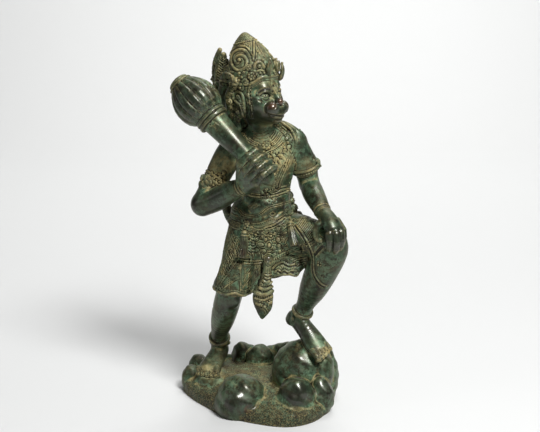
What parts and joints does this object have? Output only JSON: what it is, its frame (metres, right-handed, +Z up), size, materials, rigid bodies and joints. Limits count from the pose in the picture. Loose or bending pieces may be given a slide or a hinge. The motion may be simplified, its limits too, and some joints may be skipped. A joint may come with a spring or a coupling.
{
  "type": "cast bronze monkey warrior figurine",
  "caption": "Standing monkey warrior with a crown and a ribbed mace over the shoulder, one foot raised on a boulder, cast with its rocky plinth.",
  "frame": {"origin": "on the flat underside of the mound, straight below the axis of the body", "axes": "+Z up through the figure, -Y the way its chest faces, +X to the figure's left"},
  "size_m": [0.1859, 0.1618, 0.4002],
  "materials": {
    "bronze": "dark brown bronze under a mottled green patina, dusty ochre in the hollows and polished on the high spots"
  },
  "bodies": {
    "root": {"hanuman_figure": "bronze"}
  },
  "joints": []
}
